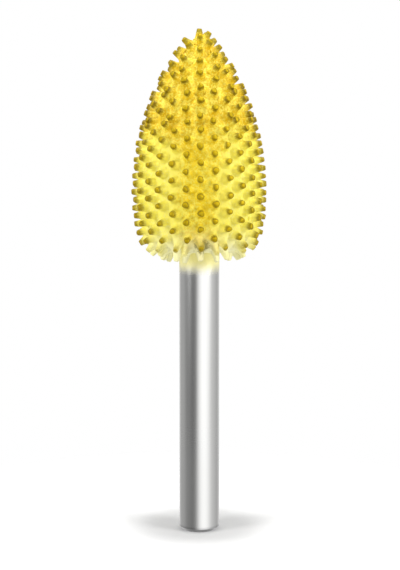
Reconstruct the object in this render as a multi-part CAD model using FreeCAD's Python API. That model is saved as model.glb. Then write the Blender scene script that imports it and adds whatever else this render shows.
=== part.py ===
import FreeCAD, Part
import math
import os

# Rotary burr: a ground quarter-inch shank carries a flame-shaped steel head set all over with carbide teeth.
# Frame: millimetres, +Z up along the tool's axis, origin at the centre of the shank's foot, front towards -Y.

# Driving dimensions of the shank
SHANK_DIAMETER = 6.35
SHANK_REACH = 44.5
FOOT_CHAMFER = 0.5
SEAT_WIDTH = 0.7
SPIGOT_LENGTH = 13.5
SPIGOT_CHAMFER = 0.4

# Driving dimensions of the head's steel body, under the teeth
BODY_DIAMETER = 18.1
BODY_LENGTH = 33.2
WIDEST_HEIGHT = 9.6
NOSE_RADIUS = 1.27
SHOULDER_RADIUS = 4.45
BRAZE_GAP = 0.05
BRAZE_POOL = 0.5

# Driving dimensions of one tooth: a blunt thorn with its root set into the body
TOOTH_HEIGHT = 1.65
TOOTH_BASE_DIAMETER = 1.5
TOOTH_TIP_DIAMETER = 0.75
TOOTH_ROOT = 0.3
TOOTH_SIDES = 5

# Driving dimensions of the tooth field
ROW_STEP = 1.23
FULL_ROW_COUNT = 14
LEAST_ROW_COUNT = 5
CLOSEST_SPACING = 3.3
RESET_SPACING = 4.0
RESET_NEARER = 0.37
ROWS_CLIMBED_PER_TURN = 2
FRONT_TEETH_ABOVE_WIDEST = 1.69
FRONT_TEETH_TURN = 1.3
NOSE_TEETH_APART = 0.85
SHANK_CLEARANCE = 0.65

# How finely the round body is divided into flat facets
FACET_COUNT_PER_TOOTH = 3
BAND_LENGTH = 3.2
BAND_TURN = math.radians(19)

SHANK_RADIUS = SHANK_DIAMETER / 2
SPIGOT_RADIUS = SHANK_RADIUS - SEAT_WIDTH
BODY_RADIUS = BODY_DIAMETER / 2
UNDERSIDE = SHANK_REACH
WIDEST = UNDERSIDE + WIDEST_HEIGHT
NOSE_TOP = UNDERSIDE + BODY_LENGTH
FACETS = FULL_ROW_COUNT * FACET_COUNT_PER_TOOTH
ORIGIN = FreeCAD.Vector(0, 0, 0)
AXIS = FreeCAD.Vector(0, 0, 1)


class Arc:
    """A round stretch of the body's outline, from its nose end to its shank end.

    Angles are those of the outward normal above the horizontal.
    """

    def __init__(self, centre, radius, start, end):
        self.centre = centre
        self.radius = radius
        self.start = start
        self.turn = start - end
        self.length = radius * self.turn

    def at(self, run):
        """Radius, height and normal angle, a given length along the stretch."""
        angle = self.start - run / self.radius
        across, up = self.centre
        return across + self.radius * math.cos(angle), up + self.radius * math.sin(angle), angle


class Flat:
    """The underside's level stretch, from the shoulder in to the axis."""

    def __init__(self, outer_radius, height):
        self.outer_radius = outer_radius
        self.height = height
        self.turn = 0.0
        self.length = outer_radius

    def at(self, run):
        """Radius, height and normal angle, a given length along the stretch."""
        return self.outer_radius - run, self.height, -math.pi / 2


def body_outline():
    """Nose, flank, shoulder and underside, each tangent to the next.

    The flank is one long arc. It is widest at the height WIDEST, and blends inside itself into the round nose
    above and the round shoulder below.
    """
    rise = NOSE_TOP - WIDEST - NOSE_RADIUS
    flank_radius = (BODY_RADIUS**2 + rise**2 - NOSE_RADIUS**2) / (2 * (BODY_RADIUS - NOSE_RADIUS))
    flank_centre = (BODY_RADIUS - flank_radius, WIDEST)
    nose_angle = math.atan2(rise, -flank_centre[0])

    drop = WIDEST_HEIGHT - SHOULDER_RADIUS
    shoulder_angle = -math.asin(drop / (flank_radius - SHOULDER_RADIUS))
    shoulder_across = flank_centre[0] + (flank_radius - SHOULDER_RADIUS) * math.cos(shoulder_angle)
    shoulder_centre = (shoulder_across, UNDERSIDE + SHOULDER_RADIUS)
    return [
        Arc((0.0, NOSE_TOP - NOSE_RADIUS), NOSE_RADIUS, math.pi / 2, nose_angle),
        Arc(flank_centre, flank_radius, nose_angle, shoulder_angle),
        Arc(shoulder_centre, SHOULDER_RADIUS, shoulder_angle, -math.pi / 2),
        Flat(shoulder_across, UNDERSIDE),
    ]


def along(outline, run):
    """Radius, height and normal angle, a given length down the outline from the top of the nose."""
    for stretch in outline[:-1]:
        if run <= stretch.length:
            return stretch.at(run)
        run -= stretch.length
    return outline[-1].at(run)


def flat_face(corners):
    """A plane face through the given corners."""
    return Part.Face(Part.makePolygon(corners + corners[:1]))


def ring(radius, height):
    """Corners of one level ring of the faceted body."""
    corners = []
    for i in range(FACETS):
        angle = 2 * math.pi * (i + 0.5) / FACETS
        corners.append(FreeCAD.Vector(radius * math.cos(angle), radius * math.sin(angle), height))
    return corners


def solid_from(faces):
    """A closed solid with its faces outward."""
    solid = Part.Solid(Part.Shell(faces))
    if solid.Volume < 0:
        solid.reverse()
    return solid


def faceted_body(outline):
    """The turned body in narrow flat facets, which keeps the ground under every tooth plane."""
    rings = []
    for stretch in outline[:-1]:
        bands = max(math.ceil(stretch.length / BAND_LENGTH), math.ceil(stretch.turn / BAND_TURN))
        for i in range(bands):
            radius, height, _ = stretch.at(stretch.length * (i + 1) / bands)
            rings.append(ring(radius, height))
    apex = FreeCAD.Vector(0, 0, NOSE_TOP)
    faces = []
    for i in range(FACETS):
        j = (i + 1) % FACETS
        faces.append(flat_face([apex, rings[0][i], rings[0][j]]))
        for upper, lower in zip(rings, rings[1:]):
            faces.append(flat_face([upper[i], lower[i], lower[j], upper[j]]))
    faces.append(flat_face(rings[-1][::-1]))
    return solid_from(faces)


def tooth(radius, height, normal_angle, turn):
    """One thorn, square to the body at the given place. The turn is in degrees from the front, to the right."""
    foot = FreeCAD.Vector(radius, 0, height)
    out = FreeCAD.Vector(math.cos(normal_angle), 0, math.sin(normal_angle))
    level = FreeCAD.Vector(0, 1, 0)
    rise = out.cross(level)
    base_radius = TOOTH_BASE_DIAMETER / 2
    tip_radius = TOOTH_TIP_DIAMETER / 2
    root_radius = base_radius + (base_radius - tip_radius) * TOOTH_ROOT / TOOTH_HEIGHT
    root = []
    tip = []
    for i in range(TOOTH_SIDES):
        angle = 2 * math.pi * i / TOOTH_SIDES
        spoke = rise * math.cos(angle) + level * math.sin(angle)
        root.append(foot - out * TOOTH_ROOT + spoke * root_radius)
        tip.append(foot + out * TOOTH_HEIGHT + spoke * tip_radius)
    faces = [flat_face(root[::-1]), flat_face(tip)]
    for i in range(TOOTH_SIDES):
        j = (i + 1) % TOOTH_SIDES
        faces.append(flat_face([root[i], root[j], tip[j], tip[i]]))
    thorn = solid_from(faces)
    thorn.rotate(ORIGIN, AXIS, turn - 90)
    return thorn


def tooth_rows(outline):
    """Each row's length down the outline, its count and whether it is staggered.

    The rows run both ways from the one above the widest. A row's count holds until the teeth crowd. Then it falls to
    one that spreads them again, and that row moves nearer to the last, into the wider gaps.
    """
    front_row = outline[0].length + outline[1].radius * outline[1].start - FRONT_TEETH_ABOVE_WIDEST
    whole = sum(stretch.length for stretch in outline)
    rows = []
    for number, direction, end in ((0, -1, NOSE_TEETH_APART), (1, 1, whole)):
        run = front_row + number * ROW_STEP
        count = FULL_ROW_COUNT
        while (end - run) * direction > 0:
            round_body = 2 * math.pi * along(outline, run)[0]
            spread = max(LEAST_ROW_COUNT, int(round_body / RESET_SPACING))
            if round_body / count < CLOSEST_SPACING and spread < count:
                count = spread
                run -= direction * RESET_NEARER
            rows.append((run, count, number % 2 == 1))
            run += direction * ROW_STEP
            number += direction
    return rows


def tooth_places(outline):
    """Where every tooth stands: radius, height, normal angle and turn in degrees.

    Each row climbs a little as it goes round, so that it meets another row where it closes, as on a screw.
    """
    places = [(*along(outline, 0.0), 0.0)]
    whole = sum(stretch.length for stretch in outline)
    least_radius = SHANK_RADIUS + TOOTH_BASE_DIAMETER / 2 + SHANK_CLEARANCE
    for run, count, staggered in tooth_rows(outline):
        for i in range(count):
            turn = (i + 0.5 * staggered) / count
            if turn > 0.5:
                turn -= 1
            climb = ROWS_CLIMBED_PER_TURN * ROW_STEP * turn
            place = along(outline, max(NOSE_TEETH_APART, min(run - climb, whole)))
            if run < whole / 2 or place[0] > least_radius:
                places.append((*place, 360 * turn + FRONT_TEETH_TURN))
    return places


def toothed_head():
    """Faceted body, bored from below for the shank's spigot, with the teeth grown on it."""
    outline = body_outline()
    foot_of_socket = FreeCAD.Vector(0, 0, UNDERSIDE)
    socket = Part.makeCylinder(SPIGOT_RADIUS + BRAZE_GAP, SPIGOT_LENGTH + BRAZE_POOL, foot_of_socket)
    body = faceted_body(outline).cut(socket)
    teeth = [tooth(*place) for place in tooth_places(outline)]
    head = body.fuse(teeth)
    print("teeth", len(teeth), "solids in head", len(head.Solids))
    return head.Solids[0]


def shank():
    """Ground round bar, chamfered at the foot, and turned down to a spigot above the shoulder that seats the head."""
    top = UNDERSIDE + SPIGOT_LENGTH
    outline = [
        FreeCAD.Vector(0, 0, 0),
        FreeCAD.Vector(SHANK_RADIUS - FOOT_CHAMFER, 0, 0),
        FreeCAD.Vector(SHANK_RADIUS, 0, FOOT_CHAMFER),
        FreeCAD.Vector(SHANK_RADIUS, 0, UNDERSIDE),
        FreeCAD.Vector(SPIGOT_RADIUS, 0, UNDERSIDE),
        FreeCAD.Vector(SPIGOT_RADIUS, 0, top - SPIGOT_CHAMFER),
        FreeCAD.Vector(SPIGOT_RADIUS - SPIGOT_CHAMFER, 0, top),
        FreeCAD.Vector(0, 0, top),
    ]
    return flat_face(outline).revolve(ORIGIN, AXIS, 360)


def write(node, shape):
    """One file for each sub-part, named after its node."""
    shape.exportStep(os.path.join("parts", node + ".step"))
    print(node, "valid", shape.isValid(), "volume", round(shape.Volume, 1))


os.makedirs("parts", exist_ok=True)
write("shank", shank())
write("toothed_head", toothed_head())
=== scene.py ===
# %% [markdown]
# Rotary burr
#
# The object is a carving burr: a plain ground steel shank, and on top of it a flame-shaped head set all
# over with blunt carbide thorns. A yellow coat covers the head and is worn off the tips of the thorns. The
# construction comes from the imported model, in metres with +Z up, and this script gives it its finish. Only
# the head is modelled again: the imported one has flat-sided teeth, and here every thorn is round, a little
# uneven and grows out of the coat.

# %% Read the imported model
import math

import bpy
import numpy as np
from mathutils import Matrix, Vector, noise


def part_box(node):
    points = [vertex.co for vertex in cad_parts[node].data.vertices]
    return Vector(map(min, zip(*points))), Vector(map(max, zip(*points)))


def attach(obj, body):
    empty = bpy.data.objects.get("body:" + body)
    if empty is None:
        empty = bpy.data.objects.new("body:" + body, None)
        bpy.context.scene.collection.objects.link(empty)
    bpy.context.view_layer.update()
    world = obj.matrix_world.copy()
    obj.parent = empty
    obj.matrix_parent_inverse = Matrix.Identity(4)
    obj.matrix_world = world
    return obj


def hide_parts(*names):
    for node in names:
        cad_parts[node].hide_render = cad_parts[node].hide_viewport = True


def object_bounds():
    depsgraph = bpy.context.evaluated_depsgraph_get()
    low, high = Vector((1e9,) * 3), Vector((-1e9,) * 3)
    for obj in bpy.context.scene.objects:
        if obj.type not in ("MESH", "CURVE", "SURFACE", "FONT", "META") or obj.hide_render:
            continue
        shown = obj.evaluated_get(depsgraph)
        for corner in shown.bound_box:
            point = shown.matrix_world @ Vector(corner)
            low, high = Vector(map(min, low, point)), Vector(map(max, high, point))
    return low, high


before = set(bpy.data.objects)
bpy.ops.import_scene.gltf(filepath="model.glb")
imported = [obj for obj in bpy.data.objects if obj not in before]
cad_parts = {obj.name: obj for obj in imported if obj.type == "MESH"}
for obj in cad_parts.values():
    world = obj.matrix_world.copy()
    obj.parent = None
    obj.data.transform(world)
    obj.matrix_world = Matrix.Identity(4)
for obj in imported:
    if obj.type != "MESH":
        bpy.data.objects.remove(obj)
cad_low, cad_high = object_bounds()
MM = 0.001
print("packed model, mm:", [round(c / MM, 2) for c in (*cad_low, *cad_high)])

# %% [markdown]
# Sizes from the frame
#
# Two boxes give nearly everything. The shank's box gives its width. The head's box gives the span over the
# thorns, so the steel body under them is that box less one thorn on every side. The other values are the
# head's own roundings, in millimetres.

# %% Measure the shank and the head
THORN_HEIGHT = 1.65 * MM
WIDEST_HEIGHT = 9.6 * MM
NOSE_RADIUS = 1.27 * MM
SHOULDER_RADIUS = 4.45 * MM
SEAT_WIDTH = 0.7 * MM
BRAZE_GAP = 0.05 * MM
BRAZE_POOL = 0.5 * MM

shank_low, shank_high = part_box("shank")
head_low, head_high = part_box("toothed_head")
shank_radius = (shank_high[0] - shank_low[0]) / 2
body_radius = (head_high[0] - head_low[0]) / 2 - THORN_HEIGHT
underside = head_low[2] + THORN_HEIGHT
nose_top = head_high[2] - THORN_HEIGHT
print("steel body, mm: radius", round(body_radius / MM, 2), "from", round(underside / MM, 2), "to",
      round(nose_top / MM, 2))

# %% [markdown]
# The camera
#
# The photograph gives three rows of pixels: the top thorn, the foot, and the row where the rings of teeth
# look straight, which is the level of the lens. With a chosen focal length they fix how far away and how
# high the camera is, and how far it tips down. Nothing is shifted, so the other views keep the same plain
# lens.

# %% Add the camera
FRAME_WIDTH = 400
FRAME_HEIGHT = 570
AXIS_COLUMN = 199.3
TOP_ROW = 28.3
LEVEL_ROW = 180.0
FOOT_ROW = 527.5
LENS = 79.7
SENSOR = 36.0


def add_camera():
    """A camera in front of the burr that puts its top, its level and its foot on the photograph's rows."""
    focal = LENS / SENSOR * FRAME_HEIGHT
    middle = FRAME_HEIGHT / 2
    tip_down = math.atan((middle - LEVEL_ROW) / focal)
    top_angle = math.atan((middle - TOP_ROW) / focal) - tip_down
    foot_angle = math.atan((middle - FOOT_ROW) / focal) - tip_down
    distance = cad_high.z / (math.tan(top_angle) - math.tan(foot_angle))
    eye_height = -distance * math.tan(foot_angle)
    sideways = (FRAME_WIDTH / 2 - AXIS_COLUMN) * distance / focal

    data = bpy.data.cameras.new("camera")
    data.lens = LENS
    data.sensor_width = SENSOR
    data.clip_start = 1 * MM
    camera = bpy.data.objects.new("camera", data)
    camera.location = (sideways, -distance, eye_height)
    camera.rotation_euler = (math.pi / 2 - tip_down, 0, 0)
    bpy.context.scene.collection.objects.link(camera)
    bpy.context.scene.camera = camera
    print("camera: distance", round(distance / MM, 1), "mm, height", round(eye_height / MM, 1), "mm, tipped",
          round(math.degrees(tip_down), 2), "degrees")


add_camera()

# %% [markdown]
# The outline of the steel body
#
# The body is turned, so one outline says it all: a small round nose, one long arched flank, a round
# shoulder and a level underside, each tangent to the next. A stretch is an arc with a centre, and a length
# along it gives a radius, a height and the slope of the surface. The same outline later says how far any
# point lies above the body.

# %% Write the outline
class Arc:
    """A round stretch of the outline, from its nose end to its shank end."""

    def __init__(self, centre, radius, start, end):
        self.centre = centre
        self.radius = radius
        self.start = start
        self.end = end
        self.length = radius * (start - end)

    def at(self, run):
        """Radius, height and angle of the outward normal above the level, a given length along."""
        angle = self.start - run / self.radius
        return (self.centre[0] + self.radius * math.cos(angle),
                self.centre[1] + self.radius * math.sin(angle), angle)


def body_outline():
    """Nose, flank and shoulder. The flank's radius makes it blend into the round nose."""
    widest = underside + WIDEST_HEIGHT
    rise = nose_top - widest - NOSE_RADIUS
    flank_radius = (body_radius**2 + rise**2 - NOSE_RADIUS**2) / (2 * (body_radius - NOSE_RADIUS))
    flank_centre = (body_radius - flank_radius, widest)
    nose_angle = math.atan2(rise, -flank_centre[0])
    inner = flank_radius - SHOULDER_RADIUS
    shoulder_angle = -math.asin((WIDEST_HEIGHT - SHOULDER_RADIUS) / inner)
    shoulder_centre = (flank_centre[0] + inner * math.cos(shoulder_angle), underside + SHOULDER_RADIUS)
    return (
        Arc((0.0, nose_top - NOSE_RADIUS), NOSE_RADIUS, math.pi / 2, nose_angle),
        Arc(flank_centre, flank_radius, nose_angle, shoulder_angle),
        Arc(shoulder_centre, SHOULDER_RADIUS, shoulder_angle, -math.pi / 2),
    )


nose, flank, shoulder = body_outline()
level_stretch = shoulder.centre[0]
whole_run = nose.length + flank.length + shoulder.length + level_stretch


def along(run):
    """Radius, height and normal angle, a given length down the outline from the top of the nose."""
    for arc in (nose, flank, shoulder):
        if run <= arc.length:
            return arc.at(run)
        run -= arc.length
    return level_stretch - run, underside, -math.pi / 2


def above_body(points):
    """How far each point lies outside the steel body, for an array of places."""
    across = np.hypot(points[:, 0], points[:, 1])
    up = points[:, 2]
    distances = []
    for arc in (nose, flank, shoulder):
        out = across - arc.centre[0]
        rise = up - arc.centre[1]
        angle = np.arctan2(rise, out)
        inside = (angle <= arc.start) & (angle >= arc.end)
        distances.append(np.where(inside, np.hypot(out, rise) - arc.radius, np.inf))
    under = np.where((up < underside) & (across < level_stretch), underside - up, np.inf)
    nearest = np.min([*distances, under], axis=0)
    return np.where(np.isfinite(nearest), nearest, 0.0)


print("outline length, mm:", round(whole_run / MM, 2), "flank radius, mm:", round(flank.radius / MM, 2))

# %% [markdown]
# Where the thorns stand
#
# The thorns stand in rows, each half a step round from the next, and the rows climb a little as they go
# round. A row keeps its count until its thorns crowd. Then the count falls to one that spreads them again,
# and that row comes nearer to the last one, so the nose has few thorns and the flank has many. These are
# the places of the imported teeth, because the form of a piece is not changed here.

# %% Place the thorns
ROW_STEP = 1.23 * MM
FULL_ROW = 14
LEAST_ROW = 5
CLOSEST_SPACING = 3.3 * MM
RESET_SPACING = 4.0 * MM
RESET_NEARER = 0.37 * MM
ROWS_CLIMBED_PER_TURN = 2
FRONT_THORNS_ABOVE_WIDEST = 1.69 * MM
FRONT_THORNS_TURN = math.radians(1.3)
NOSE_THORNS_APART = 0.85 * MM
SHANK_CLEARANCE = 0.65 * MM
THORN_BASE_RADIUS = 0.75 * MM
THORN_TIP_RADIUS = 0.375 * MM


def thorn_rows():
    """Length down the outline, count and whether it is staggered, for each row, both ways from the front."""
    front_row = nose.length + flank.radius * flank.start - FRONT_THORNS_ABOVE_WIDEST
    rows = []
    for number, direction, end in ((0, -1, NOSE_THORNS_APART), (1, 1, whole_run)):
        run = front_row + number * ROW_STEP
        count = FULL_ROW
        while (end - run) * direction > 0:
            round_body = 2 * math.pi * along(run)[0]
            spread = max(LEAST_ROW, int(round_body / RESET_SPACING))
            if round_body / count < CLOSEST_SPACING and spread < count:
                count = spread
                run -= direction * RESET_NEARER
            rows.append((run, count, number % 2 == 1))
            run += direction * ROW_STEP
            number += direction
    return rows


def thorn_places():
    """Radius, height, normal angle and turn from the front of every thorn, the nose's first."""
    places = [(*along(0.0), 0.0)]
    least_radius = shank_radius + THORN_BASE_RADIUS + SHANK_CLEARANCE
    for run, count, staggered in thorn_rows():
        for i in range(count):
            turn = (i + 0.5 * staggered) / count
            if turn > 0.5:
                turn -= 1
            climb = ROWS_CLIMBED_PER_TURN * ROW_STEP * turn
            place = along(max(NOSE_THORNS_APART, min(run - climb, whole_run)))
            if run < whole_run / 2 or place[0] > least_radius:
                places.append((*place, 2 * math.pi * turn + FRONT_THORNS_TURN))
    return places


places = thorn_places()
print("thorns:", len(places))

# %% [markdown]
# The meshes of the body and of one thorn
#
# Both are turned forms, so one small helper makes rings of points and joins them. A thorn's rings follow a
# curve that flares at its foot, so that it runs into the coat like a fillet of braze, and closes over at
# its top like a worn stub. Each thorn then gets its own waviness, height and lean from a seeded random
# generator.

# %% Make the two meshes
BODY_SIDES = 150
BODY_BAND = 0.4 * MM
THORN_SIDES = 14
THORN_FLARE = 0.22 * MM
FLARE_FADE = 0.07
RING_SHARES = (-0.12, 0.0, 0.06, 0.14, 0.28, 0.45, 0.62, 0.78, 0.88)
ROUNDING_TURNS = (35, 65)
ROUNDING_BLUNTNESS = 0.35
LEAN = 0.045
HEIGHT_SPREAD = (0.93, 1.0)
WIDTH_SPREAD = (0.9, 1.08)
LOBE_COUNTS = (1, 2, 3)
LOBE_SPREAD = (0.03, 0.1)
WAVINESS = 0.02
random = np.random.default_rng(7)


def lathe(rings):
    """Points and faces of a closed skin through rings of points, with a cap fan at each end."""
    sides = len(rings[0])
    points = np.vstack(rings + [rings[0].mean(axis=0)[None], rings[-1].mean(axis=0)[None]])
    first = len(points) - 2
    faces = []
    for ring in range(len(rings) - 1):
        for i in range(sides):
            j = (i + 1) % sides
            low, high = ring * sides, (ring + 1) * sides
            faces.append((low + i, low + j, high + j, high + i))
    last_ring = (len(rings) - 1) * sides
    for i in range(sides):
        j = (i + 1) % sides
        faces.append((first, j, i))
        faces.append((first + 1, last_ring + i, last_ring + j))
    return points, faces


def body_skin():
    """The turned body, from the floor of its socket, out over the underside and up to the nose."""
    angles = 2 * np.pi * np.arange(BODY_SIDES) / BODY_SIDES
    socket_radius = shank_radius - SEAT_WIDTH + BRAZE_GAP
    bands = int(whole_run / BODY_BAND)
    stops = [along(whole_run * band / bands)[:2] for band in range(bands - 1, 0, -1)]
    clear_of_socket = socket_radius + BODY_BAND
    outside = [stop for stop in stops if stop[1] > underside or stop[0] > clear_of_socket]
    socket = [(socket_radius, shank_high[2] + BRAZE_POOL), (socket_radius, underside)]
    rings = []
    for radius, height in socket + outside:
        rings.append(np.stack([radius * np.cos(angles), radius * np.sin(angles),
                               np.full(BODY_SIDES, height)], axis=1))
    return lathe(rings)


def thorn_profile():
    """Share of the height and radius of each ring of a thorn, from below the coat to the rounded top."""
    rings = []
    for share in RING_SHARES:
        radius = THORN_TIP_RADIUS + (THORN_BASE_RADIUS - THORN_TIP_RADIUS) * (1 - share)
        radius += THORN_FLARE * math.exp(-max(share, 0.0) / FLARE_FADE)
        rings.append((share, radius))
    top_share, top_radius = rings[-1]
    for turn in ROUNDING_TURNS:
        angle = math.radians(turn)
        share = top_share + (1 - top_share) * math.sin(angle)
        rings.append((share, top_radius * math.cos(angle) ** ROUNDING_BLUNTNESS))
    return rings


def thorn_skin(place, profile):
    """One uneven thorn, square to the body but for a small lean."""
    radius, height, slope, turn = place
    foot = Vector((radius, 0, height))
    out = Vector((math.cos(slope), 0, math.sin(slope)))
    lean_up, lean_round = random.normal(0, LEAN, 2)
    level = Vector((0, 1, 0))
    rise = out.cross(level)
    out = (out + rise * lean_up + level * lean_round).normalized()
    level = rise.cross(out).normalized() * -1
    rise = out.cross(level)

    tall = THORN_HEIGHT * random.uniform(*HEIGHT_SPREAD)
    stout = random.uniform(*WIDTH_SPREAD)
    lobe_sizes = random.uniform(*LOBE_SPREAD, len(LOBE_COUNTS))
    lobe_turns = random.uniform(0, 2 * math.pi, len(LOBE_COUNTS))
    angles = 2 * np.pi * np.arange(THORN_SIDES) / THORN_SIDES
    lobes = 1 + sum(size * np.cos(number * angles + start)
                    for number, size, start in zip(LOBE_COUNTS, lobe_sizes, lobe_turns))
    spin = Matrix.Rotation(turn - math.pi / 2, 3, "Z")
    frame_axes = np.array([spin @ level, spin @ rise, spin @ out])
    centre = np.array(spin @ foot)
    rings = []
    for share, size in profile:
        wave = lobes * (1 + random.normal(0, WAVINESS, THORN_SIDES))
        flat = np.stack([np.cos(angles) * size * stout * wave, np.sin(angles) * size * stout * wave,
                         np.full(THORN_SIDES, share * tall)], axis=1)
        rings.append(centre + flat @ frame_axes)
    return lathe(rings)


def mesh_object(name, skins):
    """One object from several closed skins."""
    points, faces, start = [], [], 0
    for skin_points, skin_faces in skins:
        points.append(skin_points)
        faces.extend(tuple(start + i for i in face) for face in skin_faces)
        start += len(skin_points)
    mesh = bpy.data.meshes.new(name)
    mesh.from_pydata(np.vstack(points).tolist(), [], faces)
    mesh.validate()
    item = bpy.data.objects.new(name, mesh)
    bpy.context.scene.collection.objects.link(item)
    return item


# %% [markdown]
# One skin for the head
#
# The thorns are joined to the body by a union, so the head is one closed skin, as the coated head is, with
# nothing hidden inside it. Blender's newest solver does that in a moment. Afterwards every point is pushed
# in or out a few hundredths of a millimetre by a noise, because a sprayed and baked coat over braze is
# lumpy. Each point keeps how far it lies above the steel body as an attribute, which the material uses to
# find the worn tips.

# %% Join them into one skin
COAT_LUMPS = ((0.9 * MM, 0.035 * MM), (0.35 * MM, 0.022 * MM))


def unite(item, other):
    """The union of two closed skins, put on the first."""
    modifier = item.modifiers.new("union", "BOOLEAN")
    modifier.operation = "UNION"
    modifier.solver = "MANIFOLD"
    modifier.object = other
    evaluated = item.evaluated_get(bpy.context.evaluated_depsgraph_get())
    joined = bpy.data.meshes.new_from_object(evaluated)
    item.modifiers.clear()
    item.data = joined
    bpy.data.objects.remove(other)


def roughen(mesh, points):
    """Pushes the points of a mesh in and out along their normals by a noise of two grain sizes."""
    normals = np.empty(points.size)
    mesh.vertices.foreach_get("normal", normals)
    pushes = np.zeros(len(points))
    for grain, depth in COAT_LUMPS:
        pushes += depth * np.array([noise.noise(Vector(point) / grain) for point in points])
    points = points + normals.reshape(-1, 3) * pushes[:, None]
    mesh.vertices.foreach_set("co", points.ravel())
    mesh.update()


def make_head():
    """The thorny head as one skin with its height attribute."""
    profile = thorn_profile()
    head = mesh_object("coated_head", [body_skin()])
    thorns = mesh_object("thorns", [thorn_skin(place, profile) for place in places])
    unite(head, thorns)
    mesh = head.data
    points = np.empty(len(mesh.vertices) * 3)
    mesh.vertices.foreach_get("co", points)
    points = points.reshape(-1, 3)
    heights = above_body(points) / THORN_HEIGHT
    roughen(mesh, points)
    attribute = mesh.attributes.new("above_body", "FLOAT", "POINT")
    attribute.data.foreach_set("value", heights.astype(np.float32))
    mesh.polygons.foreach_set("use_smooth", np.ones(len(mesh.polygons), dtype=bool))
    mesh.calc_loop_triangles()
    print("head: points", len(mesh.vertices), "triangles", len(mesh.loop_triangles))
    return head


head = make_head()
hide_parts("toothed_head")
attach(head, "root")

# %% [markdown]
# Shader arithmetic
#
# A material is easier to read as a formula than as a drawing of nodes. The small class below wraps one
# number socket, and its operators add the Math nodes. Any other node comes from the tree's add method,
# which takes the node's type, its settings and what goes into its sockets.

# %% Write the shader helpers
class Number:
    """A number socket that can be used in arithmetic."""

    def __init__(self, tree, socket):
        self.tree = tree
        self.socket = socket

    def math(self, operation, *values):
        return self.tree.number("ShaderNodeMath", {"operation": operation}, dict(enumerate(values)))

    def __add__(self, other):
        return self.math("ADD", self, other)

    def __sub__(self, other):
        return self.math("SUBTRACT", self, other)

    def __rsub__(self, other):
        return self.math("SUBTRACT", other, self)

    def __mul__(self, other):
        return self.math("MULTIPLY", self, other)

    __radd__ = __add__
    __rmul__ = __mul__

    def between(self, low, high):
        """0 below low, 1 above high and a smooth rise between them."""
        return self.tree.number("ShaderNodeMapRange", {"interpolation_type": "SMOOTHSTEP"},
                                {"Value": self, "From Min": low, "From Max": high})


class Tree:
    """A material's or the world's nodes, started empty."""

    def __init__(self, owner):
        owner.use_nodes = True
        self.tree = owner.node_tree
        self.tree.nodes.clear()

    def add(self, kind, settings=None, sockets=None):
        """A node of one type, with its settings made first and then its sockets filled or linked."""
        node = self.tree.nodes.new(kind)
        for name, value in (settings or {}).items():
            if name == "stops":
                self.set_stops(node.color_ramp, value)
            else:
                setattr(node, name, value)
        for name, value in (sockets or {}).items():
            socket = node.inputs[name]
            if isinstance(value, Number):
                self.tree.links.new(value.socket, socket)
            elif isinstance(value, bpy.types.NodeSocket):
                self.tree.links.new(value, socket)
            else:
                socket.default_value = value
        return node

    def set_stops(self, ramp, stops):
        """A ramp's stops, as pairs of a place and a colour."""
        while len(ramp.elements) > 1:
            ramp.elements.remove(ramp.elements[-1])
        for number, (place, colour) in enumerate(stops):
            element = ramp.elements[0] if number == 0 else ramp.elements.new(place)
            element.position = place
            element.color = colour

    def number(self, kind, settings=None, sockets=None, output=0):
        """The same, giving one of the node's outputs as a number."""
        return Number(self, self.add(kind, settings, sockets).outputs[output])

    def blend(self, mask, below, above):
        """One colour over another by a mask. Either may be a plain colour or a socket."""
        sockets = {"Factor": mask, 6: below, 7: above}
        return self.add("ShaderNodeMix", {"data_type": "RGBA"}, sockets).outputs[2]

    def distance(self, place, centre):
        """How far each place lies from a centre. The node's second output is the number."""
        sockets = {0: place, 1: centre}
        return self.number("ShaderNodeVectorMath", {"operation": "DISTANCE"}, sockets, output=1)

    def noise(self, place, grain, detail=2.0):
        """A noise between 0 and 1 whose lumps are about one grain across."""
        return self.number("ShaderNodeTexNoise", {}, {"Vector": place, "Scale": 1 / grain, "Detail": detail})


def colour(red, green, blue):
    """A colour written as on a screen, from 0 to 255, as the shader needs it."""
    parts = []
    for part in (red, green, blue):
        share = part / 255
        parts.append(share / 12.92 if share <= 0.04045 else ((share + 0.055) / 1.055) ** 2.4)
    return (*parts, 1.0)


# %% [markdown]
# The yellow coat and the worn tips
#
# The coat is lemon yellow in some places and a deeper, more orange yellow in others, as patches and fine
# grains break it up. Low on the head the flanks are painted paler and more lemon, and the front and the
# back deeper orange, as painted sheen from the two softboxes; towards the nose the deep yellow is painted
# darker, as painted shade. Round the shank the underside is painted pale, as painted light from the white
# table below. The coat is worn off the sides of each thorn to an olive film, painted lighter on the flanks
# and round the nose as painted sheen and painted light from the lamp above, and its flat end is rubbed to
# the metal, so it shows the dark or the bright side of the room as it faces. The height attribute sets where
# each begins and a noise makes its edge ragged. The thorns next to the shank keep their coat, which keeps
# that painted light pale. One ragged place low on the front is painted grey-green. The grain is bump,
# because it is far finer than the mesh.

# %% Make the coat's material
LEMON = colour(254, 242, 101)
PALE_GRAIN_AND_SHEEN = colour(255, 248, 140)
DEEP_YELLOW = colour(243, 213, 28)
SHADED_NOSE_YELLOW = colour(232, 196, 24)
PAINTED_TABLE_LIGHT = colour(255, 251, 196)
OLIVE_FILM = colour(140, 118, 0)
PAINTED_LIT_FILM = colour(164, 144, 14)
RUBBED_END = colour(186, 158, 8)
GREY_GREEN_PATCH = colour(150, 140, 70)
GREY_PATCH_PLACE = (0.4 * MM, -7.4 * MM, 45.6 * MM)
GREY_PATCH_REACH = 1.5 * MM
GREY_PATCH_RAGGED = 1.2 * MM
PAINTED_TOP_SHADE_TO = 66 * MM
PAINTED_TOP_SHADE_FADE = 9 * MM
LIT_NOSE_FROM = 69 * MM
TABLE_LIGHT_REACH = (5.76 * MM, 10.32 * MM)
WORN_FROM_SHANK = (7.92 * MM, 9.6 * MM)
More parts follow.
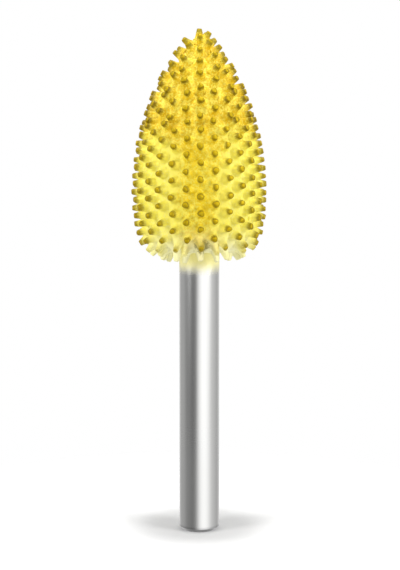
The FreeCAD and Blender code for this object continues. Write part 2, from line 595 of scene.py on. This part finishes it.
PATCH_SIZE = 3.0 * MM
GRAIN_SIZE = 0.3 * MM
FINE_GRAIN_SIZE = 0.12 * MM
COAT_BUMP = 0.18 * MM


def coat_material():
    """Lumpy yellow coat, worn to an olive film on the thorns' sides and rubbed to metal on their ends."""
    material = bpy.data.materials.new("yellow_coat")
    tree = Tree(material)
    place = tree.add("ShaderNodeTexCoord").outputs["Object"]
    height = tree.number("ShaderNodeAttribute", {"attribute_name": "above_body"}, output=2)
    patches = tree.noise(place, PATCH_SIZE)
    grains = tree.noise(place, GRAIN_SIZE, 3.0)
    fine = tree.noise(place, FINE_GRAIN_SIZE)

    parts = tree.add("ShaderNodeSeparateXYZ", {}, {0: place}).outputs
    across, back, up = (Number(tree, part) for part in parts)
    bearing = across.math("ARCTAN2", across, back)
    sideways = bearing.math("SINE", bearing)
    # Painted shade: this mask is 1 low on the head and 0 towards the nose, where the deep yellow is painted
    # darker and the painted sheen stops.
    painted_light_low = 1 - up.between(PAINTED_TOP_SHADE_TO - PAINTED_TOP_SHADE_FADE, PAINTED_TOP_SHADE_TO)
    # Painted sheen: low on the head the flanks get more lemon and pale grain, and the front and back more
    # deep orange, as the softboxes' sheen.
    painted_sheen_sides = sideways.math("ABSOLUTE", sideways).between(0.12, 0.6) * painted_light_low
    deep = (patches * 0.4 + grains * 0.8 - painted_sheen_sides * 0.3).between(0.42, 0.7)
    from_shank = tree.distance(place, (0, 0, underside))
    # Painted light: the underside round the shank is painted pale, as light thrown up by the white table.
    painted_table_light = 1 - from_shank.between(*TABLE_LIGHT_REACH)
    # Pale grain, with more of it on the flanks as painted sheen.
    pale_grain_and_sheen = (grains + painted_sheen_sides * 0.25).between(0.72, 0.94)
    # The deep yellow, painted darker towards the nose as painted shade.
    deep_and_top_shade = tree.blend(painted_light_low, SHADED_NOSE_YELLOW, DEEP_YELLOW)
    coat = tree.blend(pale_grain_and_sheen, tree.blend(deep, LEMON, deep_and_top_shade), PALE_GRAIN_AND_SHEEN)
    coat = tree.blend(painted_table_light, coat, PAINTED_TABLE_LIGHT)

    # The thorns next to the shank are left unworn, which keeps that painted light pale.
    worn_away_from_shank = from_shank.between(*WORN_FROM_SHANK)
    # A ragged grey-green patch is painted at one place low on the front.
    from_grey_patch = tree.distance(place, GREY_PATCH_PLACE) + (grains - 0.5) * GREY_PATCH_RAGGED
    grey_patch = 1 - from_grey_patch.between(0.6 * GREY_PATCH_REACH, GREY_PATCH_REACH)
    worn = (height + (grains - 0.5) * 0.4).between(0.34, 0.8) * worn_away_from_shank
    # Painted light: the film is painted lighter on the flanks, with the painted sheen, and round the nose,
    # which faces the lamp above.
    painted_lit_film = painted_sheen_sides.math("MAXIMUM", painted_sheen_sides, up.between(LIT_NOSE_FROM, nose_top))
    olive = tree.blend(painted_lit_film, OLIVE_FILM, PAINTED_LIT_FILM)
    film = tree.blend(worn, tree.blend(grey_patch * 0.9, coat, GREY_GREEN_PATCH), olive)
    rubbed = (height + (fine - 0.5) * 0.15).between(0.84, 0.92) * worn_away_from_shank
    base = tree.blend(rubbed, film, RUBBED_END)

    relief = grains * 0.7 + fine * 0.3
    bump = tree.add("ShaderNodeBump", {}, {"Height": relief, "Distance": COAT_BUMP, "Strength": 0.9})
    shader = tree.add("ShaderNodeBsdfPrincipled", {}, {
        "Base Color": base,
        "Roughness": 0.38 + 0.14 * grains,
        "Metallic": rubbed * 0.65,
        "Specular IOR Level": 0.3,
        "Normal": bump.outputs[0],
    })
    tree.add("ShaderNodeOutputMaterial", {}, {"Surface": shader.outputs[0]})
    return material


head.data.materials.clear()
head.data.materials.append(coat_material())
print("nodes in the coat's material:", len(head.data.materials[0].node_tree.nodes))

# %% [markdown]
# The ground shank
# The shank is bright steel ground round, so its fine lines run round it: a noise that changes only with
# height makes them. Just under the head the yellow spray has drifted on to it and fades out within a few
# millimetres, so the metal's colour and metallic value follow a mask made from the height and a little
# noise. The lower half is painted a little darker, as painted shade near the table, and is made rougher.
# The chamfer at the foot and the band just above it are painted darker still, as painted shade where the
# foot meets the table.

# %% Make the shank's material
STEEL = (0.72, 0.72, 0.71, 1.0)
SHADED_LOWER_STEEL = (0.7, 0.7, 0.69, 1.0)
LOWER_SHADE_TO = 24 * MM
SHADED_FOOT_STEEL = (0.5, 0.5, 0.5, 1.0)
CHAMFER = 0.5 * MM
OVERSPRAY = colour(253, 245, 168)
OVERSPRAY_END = 3.9 * MM
OVERSPRAY_FULL = 1.1 * MM
OVERSPRAY_RAGGED = 0.8 * MM
SPECKLE_SIZE = 0.35 * MM
GRINDING_WIDTH = 0.12 * MM
GRINDING_DEPTH = 0.006 * MM


def shank_material():
    """Ground steel with a fading drift of yellow at the top."""
    material = bpy.data.materials.new("ground_steel")
    tree = Tree(material)
    place = tree.add("ShaderNodeTexCoord").outputs["Object"]
    height = tree.number("ShaderNodeSeparateXYZ", {}, {0: place}, output=2)
    rings_place = tree.add("ShaderNodeCombineXYZ", {}, {"Z": height}).outputs[0]
    rings = tree.noise(rings_place, GRINDING_WIDTH, 3.0)
    speckle = tree.noise(place, SPECKLE_SIZE)

    drift_edge = (speckle - 0.5) * OVERSPRAY_RAGGED
    drift = (height + drift_edge).between(underside - OVERSPRAY_END, underside - OVERSPRAY_FULL)
    # Painted shade: the lower part of the shank is painted a little darker near the table, and made rougher.
    lower_shade_and_roughness = 1 - height.between(0.2 * LOWER_SHADE_TO, LOWER_SHADE_TO)
    steel = tree.blend(lower_shade_and_roughness, STEEL, SHADED_LOWER_STEEL)
    # Painted shade: the chamfer and the band above it are painted darker where the foot meets the table.
    steel = tree.blend(1 - height.between(CHAMFER, 2 * CHAMFER), steel, SHADED_FOOT_STEEL)
    bump = tree.add("ShaderNodeBump", {}, {"Height": rings, "Distance": GRINDING_DEPTH, "Strength": 0.45})
    shader = tree.add("ShaderNodeBsdfPrincipled", {}, {
        "Base Color": tree.blend(drift, steel, OVERSPRAY),
        "Roughness": 0.2 + 0.08 * rings + 0.3 * drift + 0.07 * lower_shade_and_roughness,
        "Metallic": 1 - drift,
        "Normal": bump.outputs[0],
    })
    tree.add("ShaderNodeOutputMaterial", {}, {"Surface": shader.outputs[0]})
    return material


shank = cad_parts["shank"]
shank.data.materials[0] = shank_material()
print("nodes in the shank's material:", len(shank.data.materials[0].node_tree.nodes))

# %% [markdown]
# The room round the burr
#
# Polished steel shows the room it stands in, so the shank needs a room to look right: a white wall in
# front, a little to the right, a dark side on the left, and grey elsewhere. The world holds that room as a
# ring of greys by compass bearing, for glossy rays only, darker straight below, where the burr shades the
# table. The camera and clear materials see plain white. Everything is lit by one soft light, stronger from
# behind, where the white backdrop is.

# %% Make the room
ROOM_LIGHT = 0.6
WHITE_WALL = 1.45
BACKDROP_LIGHT = 0.9
BELOW_SHADE = 0.5
ROOM_GREYS = (
    (-180, 0.7), (-156, 0.6), (-135, 0.33), (-100, 0.31), (-76, 0.15), (-40, 0.1), (-20, 0.17), (-3, 0.7),
    (12, 0.98), (36, 0.99), (52, 0.8), (72, 0.49), (95, 0.43), (125, 0.32), (156, 0.6), (180, 0.7),
)


def add_world():
    """White to the camera, a soft even light, and a room of greys for reflections."""
    world = bpy.data.worlds.new("studio")
    bpy.context.scene.world = world
    tree = Tree(world)
    direction = tree.add("ShaderNodeTexCoord").outputs["Generated"]
    parts = tree.add("ShaderNodeSeparateXYZ", {}, {0: direction})
    across = Number(tree, parts.outputs[0])
    forward = Number(tree, parts.outputs[1])
    bearing = across.math("ARCTAN2", across, 0.0 - forward)
    stops = [(turn / 360 + 0.5, (grey, grey, grey, 1.0)) for turn, grey in ROOM_GREYS]
    ramp = tree.add("ShaderNodeValToRGB", {"stops": stops}, {0: bearing * (1 / math.tau) + 0.5})
    below = (0.0 - Number(tree, parts.outputs[2])).between(0.5, 0.9)
    room = Number(tree, ramp.outputs[0]) * WHITE_WALL * (1 - BELOW_SHADE * below)

    light = tree.add("ShaderNodeLightPath")
    seen = Number(tree, light.outputs["Is Camera Ray"]) + Number(tree, light.outputs["Is Transmission Ray"])
    glossy = Number(tree, light.outputs["Is Glossy Ray"])
    soft = ROOM_LIGHT + (BACKDROP_LIGHT - ROOM_LIGHT) * forward.between(0.1, 0.6)
    strength = seen + glossy * room + (1 - seen - glossy) * soft
    background = tree.add("ShaderNodeBackground", {}, {"Color": (1.0, 1.0, 1.0, 1.0), "Strength": strength})
    tree.add("ShaderNodeOutputWorld", {}, {"Surface": background.outputs[0]})


add_world()
bpy.context.scene.view_settings.view_transform = "Standard"
print("room greys:", len(ROOM_GREYS))

# %% [markdown]
# The lamps and the table
#
# Two tall softboxes stand to the left and the right of the camera and lift a pale band on each side of the
# head. A lamp high above, a little in front, drops the head's round shadow on the table just behind the
# foot, and its size sets how soft that shadow's edge is. The table fades out a few centimetres away, so
# that nothing but the shadow shows of it.

# %% Add the lamps and the table
TABLE_REACH = 60 * MM
TABLE_GAP = 0.02 * MM


def add_softbox(name, bearing, elevation, distance, width, height, power):
    """An area lamp that looks at the widest part of the head, from a bearing to the right of the front."""
    data = bpy.data.lights.new(name, "AREA")
    data.shape = "RECTANGLE"
    data.size = width
    data.size_y = height
    data.energy = power
    lamp = bpy.data.objects.new(name, data)
    target = Vector((0, 0, underside + WIDEST_HEIGHT))
    turn, lift = math.radians(bearing), math.radians(elevation)
    away = Vector((math.sin(turn) * math.cos(lift), -math.cos(turn) * math.cos(lift), math.sin(lift)))
    lamp.location = target + away * distance
    lamp.rotation_euler = away.to_track_quat("Z", "Y").to_euler()
    bpy.context.scene.collection.objects.link(lamp)


def table_material():
    """Matt white that fades out away from the burr."""
    material = bpy.data.materials.new("white_table")
    tree = Tree(material)
    place = tree.add("ShaderNodeTexCoord").outputs["Object"]
    away = tree.distance(place, (0, 0, 0))
    shader = tree.add("ShaderNodeBsdfPrincipled", {}, {
        "Base Color": (0.75, 0.75, 0.75, 1.0),
        "Roughness": 1.0,
        "Alpha": 1 - away.between(0.5 * TABLE_REACH, TABLE_REACH),
    })
    tree.add("ShaderNodeOutputMaterial", {}, {"Surface": shader.outputs[0]})
    return material


def add_table():
    """A level white table that carries the shadow and is not seen in the steel."""
    half = TABLE_REACH
    mesh = bpy.data.meshes.new("table")
    level = -TABLE_GAP
    corners = [(-half, -half, level), (half, -half, level), (half, half, level), (-half, half, level)]
    mesh.from_pydata(corners, [], [(0, 1, 2, 3)])
    mesh.materials.append(table_material())
    table = bpy.data.objects.new("table", mesh)
    bpy.context.scene.collection.objects.link(table)
    table.visible_glossy = False


add_softbox("overhead", 0, 88.3, 1.0, 0.12, 0.12, 5.6)
add_softbox("left_softbox", -60, 18, 0.4, 0.14, 0.2, 0.8)
add_softbox("right_softbox", 60, 18, 0.4, 0.14, 0.2, 0.8)
add_table()
